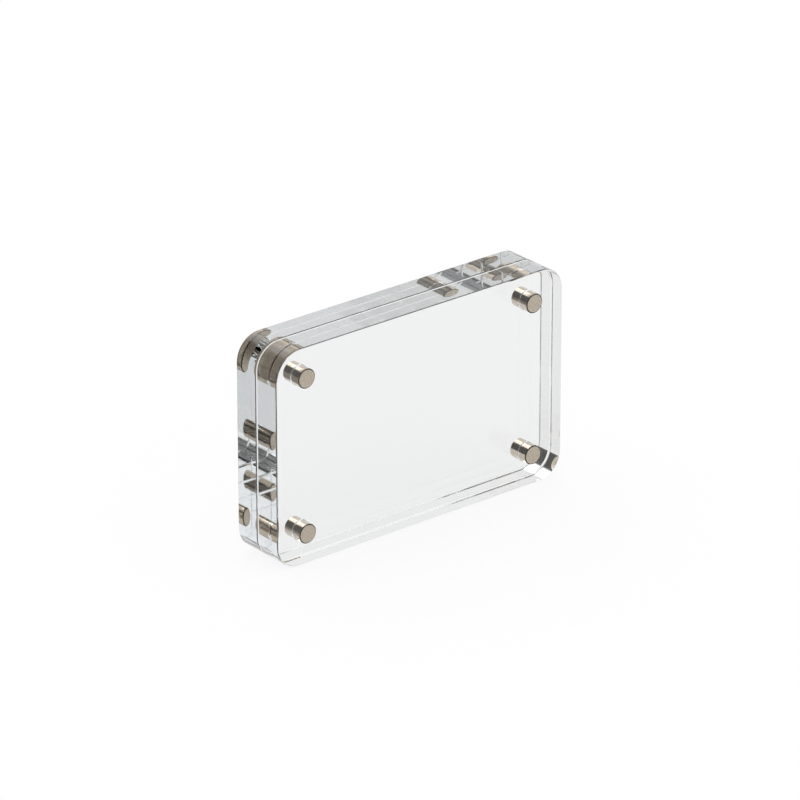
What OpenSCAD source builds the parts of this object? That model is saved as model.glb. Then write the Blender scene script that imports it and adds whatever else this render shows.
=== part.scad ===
// Magnetic block frame: two thick clear blocks that stand face to face on one long edge, with
// a print between them, and four pairs of rod magnets that hold them together.
// Origin: middle of the standing base. X is the width, +Y points to the back, +Z is up.

/* [Blocks] */
// Width of both blocks
block_w = 140; // [100:1:260]
// Height of both blocks
block_h = 89; // [75:1:200]
// Thickness of the front block
front_t = 12; // [11:0.5:25]
// Thickness of the back block
back_t = 12; // [11:0.5:25]
// Radius of the four rounded corners
corner_r = 10.5; // [4:0.5:20]
// Width of the small polished flat along every long edge
arris = 0.6; // [0.2:0.05:1]

/* [Magnets] */
// Diameter of the rod magnets
magnet_d = 8; // [5:0.5:10]
// Length of the rod magnets
magnet_l = 8; // [4:0.5:9]
// Width of the 45 degree chamfer at both ends of a magnet
magnet_chamfer = 0.45; // [0.1:0.05:0.6]
// Distance of the left-hand magnets' axes from the left edge
inset_left = 16; // [10:0.5:30]
// Distance of the right-hand magnets' axes from the right edge
inset_right = 12.5; // [10:0.5:30]
// Distance of the upper magnets' axes from the top edge
inset_top = 14; // [10:0.5:30]
// Distance of the lower magnets' axes from the bottom edge
inset_bottom = 11; // [10:0.5:30]

/* [Fits] */
// Slot between the blocks, which takes one print
print_gap = 0.3; // [0.2:0.05:2]
// Radial room for adhesive between a magnet and the wall of its bore
bore_clearance = 0.05; // [0.02:0.01:0.2]
// Depth of a magnet's face below the inner face of its block
magnet_recess = 0.4; // [0.05:0.05:0.6]
// Width of the countersunk flat round the mouth of a bore
bore_lead_in = 0.2; // [0.1:0.05:0.5]

/* [Hidden] */
$fn = 96;
clear_acrylic = [0.86, 0.90, 0.92, 0.35];
bright_nickel = [0.73, 0.68, 0.61];
// How far a cutting tool runs past the face that it enters
overrun = 1;
left = inset_left - block_w / 2;
right = block_w / 2 - inset_right;
lower = inset_bottom - block_h / 2;
upper = block_h / 2 - inset_top;
bore_r = magnet_d / 2 + bore_clearance;
bore_depth = magnet_recess + magnet_l;

// Profile of a slab across its thickness t, half_w wide, with the arris cut off both rims.
function slab_profile(half_w, t) = [
    [0, 0], [half_w - arris, 0], [half_w, arris],
    [half_w, t - arris], [half_w - arris, t], [0, t]
];

// The same profile carried to both sides of the centre line.
module full_profile(half_w, t) {
    polygon(slab_profile(half_w, t));
    mirror([1, 0]) polygon(slab_profile(half_w, t));
}

// Rounded slab, inner face on the plane z = 0 and outer face at z = t, centred on the Z axis.
module slab(t) {
    rotate([90, 0, 0])
        linear_extrude(block_h - 2 * corner_r, center = true) full_profile(block_w / 2, t);
    rotate([90, 0, 90])
        linear_extrude(block_w - 2 * corner_r, center = true) full_profile(block_h / 2, t);
    for (side = [-1, 1], end = [-1, 1])
        translate([side * (block_w / 2 - corner_r), end * (block_h / 2 - corner_r), 0])
            rotate_extrude() polygon(slab_profile(corner_r, t));
}

// Flat-bottomed bore cut into the inner face, with the countersunk flat at its mouth.
module bore() {
    translate([0, 0, -overrun]) cylinder(h = bore_depth + overrun, r = bore_r);
    translate([0, 0, -overrun])
        cylinder(h = bore_lead_in + overrun, r1 = bore_r + bore_lead_in + overrun, r2 = bore_r);
}

// One block, lying with its inner face down: the slab less its four magnet bores.
module block(t) {
    color(clear_acrylic)
    difference() {
        slab(t);
        for (x = [left, right], z = [lower, upper])
            translate([x, z, 0]) bore();
    }
}

// Rod magnet standing on the bottom of its bore, chamfered at both ends.
module magnet() {
    r = magnet_d / 2;
    c = magnet_chamfer;
    color(bright_nickel)
    translate([0, 0, magnet_recess])
        rotate_extrude() polygon([
            [0, 0], [r - c, 0], [r, c],
            [r, magnet_l - c], [r - c, magnet_l], [0, magnet_l]
        ]);
}

// Stands what is modelled lying down up on its long edge, inner face half a print gap in
// front of the joint, outer face to the front.
module to_front() {
    translate([0, -print_gap / 2, block_h / 2]) rotate([90, 0, 0]) children();
}

// The same behind the joint, outer face to the back.
module to_back() {
    mirror([0, 1, 0]) to_front() children();
}

module front_block() to_front() block(front_t);
module back_block() to_back() block(back_t);

module front_magnet(x, z) to_front() translate([x, z, 0]) magnet();
module back_magnet(x, z) to_back() translate([x, z, 0]) magnet();

front_block();
back_block();
front_magnet(left, upper);  // front_magnet_upper_left
front_magnet(right, upper);  // front_magnet_upper_right
front_magnet(left, lower);  // front_magnet_lower_left
front_magnet(right, lower);  // front_magnet_lower_right
back_magnet(left, upper);  // back_magnet_upper_left
back_magnet(right, upper);  // back_magnet_upper_right
back_magnet(left, lower);  // back_magnet_lower_left
back_magnet(right, lower);  // back_magnet_lower_right
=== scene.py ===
import math

import bpy
import numpy as np
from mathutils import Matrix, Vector
from mathutils.geometry import tessellate_polygon


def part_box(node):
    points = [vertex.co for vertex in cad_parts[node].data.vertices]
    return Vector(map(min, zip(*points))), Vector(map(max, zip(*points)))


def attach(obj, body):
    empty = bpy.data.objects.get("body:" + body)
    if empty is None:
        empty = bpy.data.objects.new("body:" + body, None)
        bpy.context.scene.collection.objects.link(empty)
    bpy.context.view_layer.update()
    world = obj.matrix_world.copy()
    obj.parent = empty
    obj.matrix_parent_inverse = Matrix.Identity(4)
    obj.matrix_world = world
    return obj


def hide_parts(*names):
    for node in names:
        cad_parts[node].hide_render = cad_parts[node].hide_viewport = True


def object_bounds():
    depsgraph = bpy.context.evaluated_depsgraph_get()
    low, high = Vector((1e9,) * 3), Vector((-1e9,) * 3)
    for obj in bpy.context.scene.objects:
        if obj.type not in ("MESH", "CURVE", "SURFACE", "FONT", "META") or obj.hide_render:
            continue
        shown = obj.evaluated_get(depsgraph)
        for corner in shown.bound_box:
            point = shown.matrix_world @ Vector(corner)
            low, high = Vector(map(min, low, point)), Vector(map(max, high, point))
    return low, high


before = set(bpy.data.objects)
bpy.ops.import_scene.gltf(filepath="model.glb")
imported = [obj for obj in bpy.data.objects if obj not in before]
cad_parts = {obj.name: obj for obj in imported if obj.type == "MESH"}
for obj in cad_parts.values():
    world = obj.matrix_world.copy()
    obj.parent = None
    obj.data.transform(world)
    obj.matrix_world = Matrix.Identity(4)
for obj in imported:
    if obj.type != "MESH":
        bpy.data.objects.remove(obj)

cad_box = [list(corner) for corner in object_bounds()]

# Two blocks of clear cast acrylic, each sawn from 12 mm sheet and routed to round corners. Every
# edge is eased to a narrow arris and diamond polished, and four blind bores are milled into the
# inner face. The back block stands still and the front block pulls off it.
MM = 0.001
BODIES = ("back", "front")
CORNERS = ("upper_left", "upper_right", "lower_left", "lower_right")
CORNER_RADIUS = 10.5 * MM
CORNER_STEPS = 48
ARRIS = 0.6 * MM
# How full an edge is between a sawn 45 degree flat, 1, and a full round, 2: the arrises are
# buffed half round, which leaves them as pale lines, and the chamfers stay nearly flat
ARRIS_BULGE = 1.5
FLAT_BULGE = 1.12
ARRIS_STEPS = 12
BORE_LEAD_IN = 0.2 * MM
BORE_COLUMNS = 128
ROD_CHAMFER = 0.45 * MM
CHAMFER_STEPS = 10
# The clear adhesive fills the bore right to the metal, so the wall is drawn this far inside it
WETTING = 0.004 * MM
# A second ring this near to each bend keeps the flat beside it truly flat when it is shaded
HOLD = 0.02 * MM
CREASE = math.radians(30)
EDGE_ROUGHNESS = 0.04


def rounded_outline(half_w, half_h, radius, inset):
    """Rounded rectangle as points (x, z), drawn inset all round: each corner is a quarter turn of
    radius less inset about its own centre, and the first and last point of each quarter is
    repeated a hair further along the straight side."""
    turn = np.linspace(0, np.pi / 2, CORNER_STEPS + 1)
    turn = np.concatenate([turn[:1], turn, turn[-1:]])
    along = np.zeros_like(turn)
    along[0], along[-1] = -HOLD, HOLD
    angle = np.arange(4)[:, None] * np.pi / 2 + turn
    centre_x = (half_w - radius) * np.array([1, -1, -1, 1])[:, None]
    centre_z = (half_h - radius) * np.array([1, 1, -1, -1])[:, None]
    x = centre_x + (radius - inset) * np.cos(angle) - along * np.sin(angle)
    z = centre_z + (radius - inset) * np.sin(angle) + along * np.cos(angle)
    return np.stack([x, z], -1).reshape(-1, 2)


def eased_bend(size, bulge, steps):
    """Profile of an edge as rows (inset, depth): the curve u^bulge + v^bulge = 1 scaled to size,
    at equal turns of its normal, with one row more on the flat at either end."""
    normal = np.linspace(0, np.pi / 2, steps + 1)
    theta = np.arctan(np.tan(normal) ** (1 / (2 - 2 / bulge)))
    inset = size * (1 - np.sin(theta) ** (2 / bulge))
    depth = size * (1 - np.cos(theta) ** (2 / bulge))
    rows = np.stack([inset, depth], -1)
    return np.concatenate([[[size + HOLD, 0]], rows, [[0, size + HOLD]]])


def through_depth(bend, depth):
    """Profile right across a piece: the bend, and its mirror image at the far side of depth."""
    return np.concatenate([bend, bend[::-1] * [1, -1] + [0, depth]])


def ring_walls(first, rows, columns):
    """Four-sided faces between neighbouring rings of points, closed round, as index rows."""
    here = np.arange(columns)
    ahead = np.roll(here, -1)
    start = first + columns * np.arange(rows - 1)[:, None]
    corners = [start + here, start + columns + here, start + columns + ahead, start + ahead]
    return np.stack(corners, -1).reshape(-1, 4).tolist()


def make_piece(name, points, faces, turned, body, node, material):
    """Puts points and faces into a mesh, turned front to back if asked, smooth but for its
    creases, sets it in the CAD node's place on its body and hands back the mesh."""
    points = points * ([1, -1, 1] if turned else [1, 1, 1])
    mesh = bpy.data.meshes.new(name)
    mesh.from_pydata(points.tolist(), [], [face[::-1] for face in faces] if turned else faces)
    mesh.shade_smooth()
    mesh.set_sharp_from_angle(angle=CREASE)
    mesh.materials.append(material)
    piece = bpy.data.objects.new(name, mesh)
    bpy.context.scene.collection.objects.link(piece)
    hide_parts(node)
    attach(piece, body)
    return mesh


def linear(code):
    """An sRGB hex colour as linear red, green and blue, with full alpha."""
    srgb = np.array([int(code[i:i + 2], 16) for i in (1, 3, 5)]) / 255
    light = np.where(srgb <= 0.04045, srgb / 12.92, ((srgb + 0.055) / 1.055) ** 2.4)
    return (*light.tolist(), 1)


def add(tree, kind, inputs, **settings):
    """Adds a node with its settings. An input takes a plain value, another node's output, or
    another node, which gives its first output."""
    made = tree.nodes.new(kind)
    for name, value in settings.items():
        setattr(made, name, value)
    for name, value in inputs.items():
        if isinstance(value, bpy.types.Node):
            value = value.outputs[0]
        if isinstance(value, bpy.types.NodeSocket):
            tree.links.new(value, made.inputs[name])
        else:
            made.inputs[name].default_value = value
    return made


def polished_cast_acrylic():
    """Cast acrylic, clear and faintly cool along its edges, refracting at 1.49. Diamond polishing
    leaves hair-fine lines that run round the edges, and casting leaves the faces very slightly
    wavy."""
    material = bpy.data.materials.new("polished_cast_acrylic")
    material.use_nodes = True
    tree = material.node_tree
    tree.nodes.clear()
    place = add(tree, "ShaderNodeTexCoord", {}).outputs["Object"]
    # Lines 0.4 mm apart across the edge and some 60 mm long round it
    lines = add(tree, "ShaderNodeMapping", {"Vector": place, "Scale": (16, 2500, 16)})
    streaks = add(tree, "ShaderNodeTexNoise", {"Vector": lines, "Scale": 1.0, "Detail": 3.0})
    # Casting waves some 25 mm across, which are far deeper than the lines
    waves = add(tree, "ShaderNodeTexNoise", {"Vector": place, "Scale": 40.0, "Detail": 1.0})
    height = add(tree, "ShaderNodeMath", {0: streaks, 1: 0.003, 2: waves}, operation="MULTIPLY_ADD")
    bump = add(tree, "ShaderNodeBump", {"Height": height, "Strength": 0.25, "Distance": 0.02 * MM})
    # The sheet's own faces are glass smooth; the sawn and polished edges are a little softer
    sawn = add(tree, "ShaderNodeAttribute", {}, attribute_name="sawn_edge")
    rough = add(tree, "ShaderNodeMath", {0: sawn.outputs["Fac"], 1: EDGE_ROUGHNESS},
                operation="MULTIPLY")
    shader = add(tree, "ShaderNodeBsdfPrincipled", {
        "Base Color": linear("#FFFFFF"), "Roughness": rough, "IOR": 1.49,
        "Transmission Weight": 1.0, "Normal": bump})
    # Clear through its thickness, and a cool light grey along the way to the far edge
    depth = add(tree, "ShaderNodeVolumeAbsorption", {"Color": linear("#F0F2F3"), "Density": 12.0})
    add(tree, "ShaderNodeOutputMaterial", {"Surface": shader, "Volume": depth})
    return material


acrylic = polished_cast_acrylic()
for body in BODIES:
    low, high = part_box(body + "_block")
    half_w, height, thickness = (high.x - low.x) / 2, high.z - low.z, high.y - low.y
    inner = abs(low.y) if body == "back" else abs(high.y)

    # The rim, from the outer face round to the inner one
    profile = through_depth(eased_bend(ARRIS, ARRIS_BULGE, ARRIS_STEPS), thickness)
    outlines = [rounded_outline(half_w, height / 2, CORNER_RADIUS, inset) for inset in profile[:, 0]]
    columns = len(outlines[0])
    depths = np.repeat(profile[:, 1], columns)
    flat = np.concatenate(outlines)
    rim = np.stack([flat[:, 0], depths - thickness - inner, low.z + height / 2 + flat[:, 1]], -1)
    points, faces = [rim], ring_walls(0, len(profile), columns)
    rim_faces = len(faces)
    faces.append(list(range(columns)))
    count = len(rim)
    inner_loops = [list(range(count - columns, count))]

    # The bores, from the mouth to the bottom, each following its magnet
    turn = np.linspace(0, 2 * np.pi, BORE_COLUMNS, endpoint=False)
    for corner in CORNERS:
        magnet_low, magnet_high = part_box(body + "_magnet_" + corner)
        centre = (magnet_low + magnet_high) / 2
        radius = (magnet_high.x - magnet_low.x) / 2 - WETTING
        reach = max(abs(magnet_low.y), abs(magnet_high.y)) - inner - WETTING
        bottom = eased_bend(ROD_CHAMFER, FLAT_BULGE, CHAMFER_STEPS)[::-1]
        rows = np.concatenate([[[radius + BORE_LEAD_IN, 0], [radius, BORE_LEAD_IN]],
                               np.stack([radius - bottom[:, 0], reach - bottom[:, 1]], -1)])
        wall = np.stack([centre.x + rows[:, :1] * np.cos(turn),
                         np.repeat(-inner - rows[:, 1:], BORE_COLUMNS, axis=1),
                         centre.z + rows[:, :1] * np.sin(turn)], -1).reshape(-1, 3)
        points.append(wall)
        faces += ring_walls(count, len(rows), BORE_COLUMNS)
        inner_loops.append(list(range(count, count + BORE_COLUMNS)))
        count += len(wall)
        faces.append(list(range(count - 1, count - 1 - BORE_COLUMNS, -1)))

    # The inner face, a flat sheet of triangles between the rim and the four mouths, facing out
    points = np.concatenate(points)
    loops = [points[loop].tolist() for loop in inner_loops]
    sheet = np.concatenate(inner_loops)[np.array(tessellate_polygon(loops))]
    first, second, third = points[sheet[:, 0]], points[sheet[:, 1]], points[sheet[:, 2]]
    backward = np.cross(second - first, third - first)[:, 1] <= 0
    sheet[backward] = sheet[backward][:, [0, 2, 1]]
    faces += sheet.tolist()
    mesh = make_piece(body + "_clear_block", points, faces, body == "back", body,
                      body + "_block", acrylic)
    sawn_edge = mesh.attributes.new("sawn_edge", "FLOAT", "FACE")
    sawn_edge.data.foreach_set("value", (np.arange(len(faces)) < rim_faces).astype(np.float32))


# Eight rod magnets of sintered neodymium, 8 mm across and 8 mm long, chamfered at both ends and
# plated with bright nickel. Each is glued into its bore with its end just under the inner face,
# and faces its partner in the other block.
MAGNET_COLUMNS = 128
# The two colour sockets of a Mix node, which has other sockets of the same names
MIX_A, MIX_B = 6, 7


def bright_nickel_plating():
    """Nickel over a tumbled sintered rod: a warm white metal, glossy on the barrel and finer
    grained and duller on the ground ends, with small pits and clouding in the plating. The
    chamfer at the bottom of the bore is painted a dark warm grey, painted shade that draws a
    dark line round the disc."""
    material = bpy.data.materials.new("bright_nickel_plating")
    material.use_nodes = True
    tree = material.node_tree
    tree.nodes.clear()
    place = add(tree, "ShaderNodeTexCoord", {}).outputs["Object"]
    # Grain of 0.25 mm and clouds of 0.7 mm, where the real ones are finer, so that they show
    grain = add(tree, "ShaderNodeTexNoise", {"Vector": place, "Scale": 4000.0, "Detail": 4.0})
    clouds = add(tree, "ShaderNodeTexNoise", {"Vector": place, "Scale": 1400.0, "Detail": 4.0})
    mottle = add(tree, "ShaderNodeMapRange", {"Value": clouds, "From Min": 0.32, "From Max": 0.68})
    plated = add(tree, "ShaderNodeMix", {
        "Factor": mottle, MIX_A: linear("#BCAE9B"), MIX_B: linear("#DCD0BF")}, data_type="RGBA")
    # The chamfer drawn with painted shade faces half way between the barrel's side and away from the
    # other block
    normal = add(tree, "ShaderNodeNewGeometry", {}).outputs["Normal"]
    facing = add(tree, "ShaderNodeSeparateXYZ", {"Vector": normal}).outputs["Y"]
    depth = add(tree, "ShaderNodeSeparateXYZ", {"Vector": place}).outputs["Y"]
    side = add(tree, "ShaderNodeMath", {0: depth}, operation="SIGN")
    away = add(tree, "ShaderNodeMath", {0: facing, 1: side}, operation="MULTIPLY")
    painted_chamfer_shade = add(tree, "ShaderNodeMath", {0: away, 1: 0.707, 2: 0.15}, operation="COMPARE")
    # Painted shade: the outer chamfer is drawn dark warm grey, as a dark line round the disc
    tone = add(tree, "ShaderNodeMix", {
        "Factor": painted_chamfer_shade, MIX_A: plated.outputs[2], MIX_B: linear("#40382F")}, data_type="RGBA")
    # The ground ends are duller than the barrel, and the clouds a little duller than the rest
    end = add(tree, "ShaderNodeMath", {0: facing}, operation="ABSOLUTE")
    dull = add(tree, "ShaderNodeMapRange", {
        "Value": end, "From Min": 0.9, "From Max": 1.0, "To Min": 0.07, "To Max": 0.26})
    rough = add(tree, "ShaderNodeMath", {0: clouds, 1: 0.07, 2: dull}, operation="MULTIPLY_ADD")
    bump = add(tree, "ShaderNodeBump", {"Height": grain, "Strength": 0.3, "Distance": 0.03 * MM})
    shader = add(tree, "ShaderNodeBsdfPrincipled", {
        "Base Color": tone.outputs[2], "Metallic": 1.0, "Roughness": rough, "Normal": bump})
    add(tree, "ShaderNodeOutputMaterial", {"Surface": shader})
    return material


nickel = bright_nickel_plating()
for body in BODIES:
    for corner in CORNERS:
        node = body + "_magnet_" + corner
        low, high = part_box(node)
        centre, radius, length = (low + high) / 2, (high.x - low.x) / 2, high.y - low.y
        outer = -max(abs(low.y), abs(high.y))
        profile = through_depth(eased_bend(ROD_CHAMFER, FLAT_BULGE, CHAMFER_STEPS), length)
        turn = np.linspace(0, 2 * np.pi, MAGNET_COLUMNS, endpoint=False)
        around = radius - profile[:, :1]
        rod = np.stack([centre.x + around * np.cos(turn),
                        np.repeat(outer + profile[:, 1:], MAGNET_COLUMNS, axis=1),
                        centre.z + around * np.sin(turn)], -1).reshape(-1, 3)
        faces = ring_walls(0, len(profile), MAGNET_COLUMNS)
        faces.append(list(range(MAGNET_COLUMNS)))
        faces.append(list(range(len(rod) - 1, len(rod) - 1 - MAGNET_COLUMNS, -1)))
        make_piece(node.replace("magnet", "rod_magnet"), rod, faces, body == "back", body,
                   node, nickel)


# The studio: a plain white floor that runs out of sight, a soft box behind the frame, a pale wall
# on its right and a dark left side, which draw the edges, and the photograph's long lens from the
# front left.
FLOOR_HALF = 4.0
FLOOR_GAP = 0.02 * MM
# The paper is painted with shade, dark up to the first of these, left of the frame, and white from
# the second on
DARK_TO, WHITE_FROM = -95 * MM, -60 * MM
# How much of the real shade is covered where the camera sees the floor, and where the blocks
# show it, and how much darker the floor is once it is mirrored
CLEAN_SHARE = 0.88
LIFTED_SHARE = 0.85
MIRROR_LOSS = 0.1
# The soft box stands behind the frame, half way up to the zenith
SOFT_BOX = Vector((0.09, 0.65, 0.75)).normalized()
SOFT_BOX_STRENGTH = 1.7
DEEP_FILL = 0.28


def white_floor():
    """White paper with painted shade that falls off into the dark on the left, which only the
    blocks mirror. The camera sees it as clean white, with a share of the real shade left in it so
    that the blocks still stand on something, and most of that shade is lifted where it is seen
    through them."""
    material = bpy.data.materials.new("white_paper_sweep")
    material.use_nodes = True
    tree = material.node_tree
    tree.nodes.clear()
    place = add(tree, "ShaderNodeTexCoord", {}).outputs["Object"]
    across = add(tree, "ShaderNodeSeparateXYZ", {"Vector": place}).outputs["X"]
    fall = add(tree, "ShaderNodeMapRange", {
        "Value": across, "From Min": DARK_TO, "From Max": WHITE_FROM, "To Min": 1.0, "To Max": 0.0
    }, interpolation_type="SMOOTHSTEP")
    seen = add(tree, "ShaderNodeLightPath", {}).outputs
    mirrored = add(tree, "ShaderNodeMath", {0: seen["Glossy Depth"], 1: 1.0}, operation="MINIMUM")
    # Painted shade on the paper, darker towards the left, which only mirrored rays see
    dark = add(tree, "ShaderNodeMath", {0: fall, 1: mirrored}, operation="MULTIPLY")
    tone = add(tree, "ShaderNodeMix", {
        "Factor": dark, MIX_A: linear("#F6F6F6"), MIX_B: linear("#6A6764")}, data_type="RGBA")
    share = add(tree, "ShaderNodeMath", {0: mirrored, 1: -MIRROR_LOSS, 2: 1.0},
                operation="MULTIPLY_ADD")
    lifted = add(tree, "ShaderNodeEmission", {"Color": tone.outputs[2], "Strength": share})
    paper = add(tree, "ShaderNodeBsdfDiffuse", {"Color": linear("#F8F8F8")})
    white = add(tree, "ShaderNodeEmission", {"Color": linear("#FFFFFF"), "Strength": 1.0})
    by_piece = add(tree, "ShaderNodeMath", {0: seen["Is Transmission Ray"], 1: seen["Is Glossy Ray"]},
                   operation="MAXIMUM")
    lift = add(tree, "ShaderNodeMath", {0: by_piece, 1: LIFTED_SHARE}, operation="MULTIPLY")
    clean = add(tree, "ShaderNodeMath", {0: seen["Is Camera Ray"], 1: CLEAN_SHARE},
                operation="MULTIPLY")
    inside = add(tree, "ShaderNodeMixShader", {0: lift, 1: paper, 2: lifted})
    mixed = add(tree, "ShaderNodeMixShader", {0: clean, 1: inside, 2: white})
    add(tree, "ShaderNodeOutputMaterial", {"Surface": mixed})
    return material


def soft_studio():
    """Plain white for the camera, for what is seen straight through the blocks and for the light
    on the floor. A mirrored ray sees the X part of its direction as a grey, dark on the left and
    pale on the right, and the soft box as a round patch about its own direction. What is mirrored
    more than once on its way out, deep in the blocks, also gets a little fill."""
    world = bpy.data.worlds.new("soft_studio")
    world.use_nodes = True
    tree = world.node_tree
    tree.nodes.clear()
    look = add(tree, "ShaderNodeTexCoord", {}).outputs["Generated"]
    across = add(tree, "ShaderNodeSeparateXYZ", {"Vector": look}).outputs["X"]
    wall = add(tree, "ShaderNodeMapRange", {
        "Value": across, "From Min": -0.40, "From Max": 0.55, "To Min": 0.02, "To Max": 0.82
    }, interpolation_type="SMOOTHSTEP")
    towards = add(tree, "ShaderNodeVectorMath", {0: look, 1: SOFT_BOX}, operation="DOT_PRODUCT")
    patch = add(tree, "ShaderNodeMapRange", {
        "Value": towards.outputs["Value"], "From Min": 0.92, "From Max": 0.985
    }, interpolation_type="SMOOTHSTEP")
    soft = add(tree, "ShaderNodeMath", {0: patch, 1: SOFT_BOX_STRENGTH, 2: wall},
               operation="MULTIPLY_ADD")
    path = add(tree, "ShaderNodeLightPath", {}).outputs
    straight = add(tree, "ShaderNodeMath", {0: path["Glossy Depth"], 1: 0.5}, operation="LESS_THAN")
    plain = add(tree, "ShaderNodeMath", {0: straight, 1: path["Is Diffuse Ray"]}, operation="MAXIMUM")
    deep = add(tree, "ShaderNodeMath", {0: path["Glossy Depth"], 1: 1.5}, operation="GREATER_THAN")
    fill = add(tree, "ShaderNodeMath", {0: deep, 1: DEEP_FILL, 2: soft}, operation="MULTIPLY_ADD")
    level = add(tree, "ShaderNodeMath", {0: plain, 1: fill}, operation="MAXIMUM")
    lamp = add(tree, "ShaderNodeBackground", {"Color": level, "Strength": 1.0})
    add(tree, "ShaderNodeOutputWorld", {"Surface": lamp})
    return world


floor_mesh = bpy.data.meshes.new("white_floor")
floor_corners = FLOOR_HALF * np.array([[-1, -1, 0], [1, -1, 0], [1, 1, 0], [-1, 1, 0]])
floor_mesh.from_pydata((floor_corners - [0, 0, FLOOR_GAP]).tolist(), [], [[0, 1, 2, 3]])
floor_mesh.materials.append(white_floor())
floor = bpy.data.objects.new("white_floor", floor_mesh)
bpy.context.scene.collection.objects.link(floor)
bpy.context.scene.world = soft_studio()

# Camera angles and lens solved from the outline in the photograph
AZIMUTH = math.radians(-39.33)
ELEVATION = math.radians(24.28)
DISTANCE = 2.235
LENS = 264.0
# The photograph's centre lies this far left of and above the middle of the frame
AIM_LEFT = 0.63 * MM
AIM_UP = 2.58 * MM
forward = Vector((-math.sin(AZIMUTH) * math.cos(ELEVATION), math.cos(AZIMUTH) * math.cos(ELEVATION),
                  -math.sin(ELEVATION)))
sideways = Vector((math.cos(AZIMUTH), math.sin(AZIMUTH), 0))
middle = Vector((0, 0, (cad_box[0][2] + cad_box[1][2]) / 2))
aim = middle - sideways * AIM_LEFT + sideways.cross(forward) * AIM_UP
lens = bpy.data.cameras.new("long_lens")
lens.sensor_width = 36
lens.lens = LENS
lens.clip_end = 50
camera = bpy.data.objects.new("long_lens", lens)
bpy.context.scene.collection.objects.link(camera)
camera.location = aim - forward * DISTANCE
camera.rotation_euler = forward.to_track_quat("-Z", "Y").to_euler()
bpy.context.scene.camera = camera
bpy.context.scene.view_settings.view_transform = "Standard"
# Light runs back and forth in the blocks, so its paths are allowed to be long
bpy.context.scene.cycles.max_bounces = 32
bpy.context.scene.cycles.transmission_bounces = 32
bpy.context.scene.cycles.glossy_bounces = 16
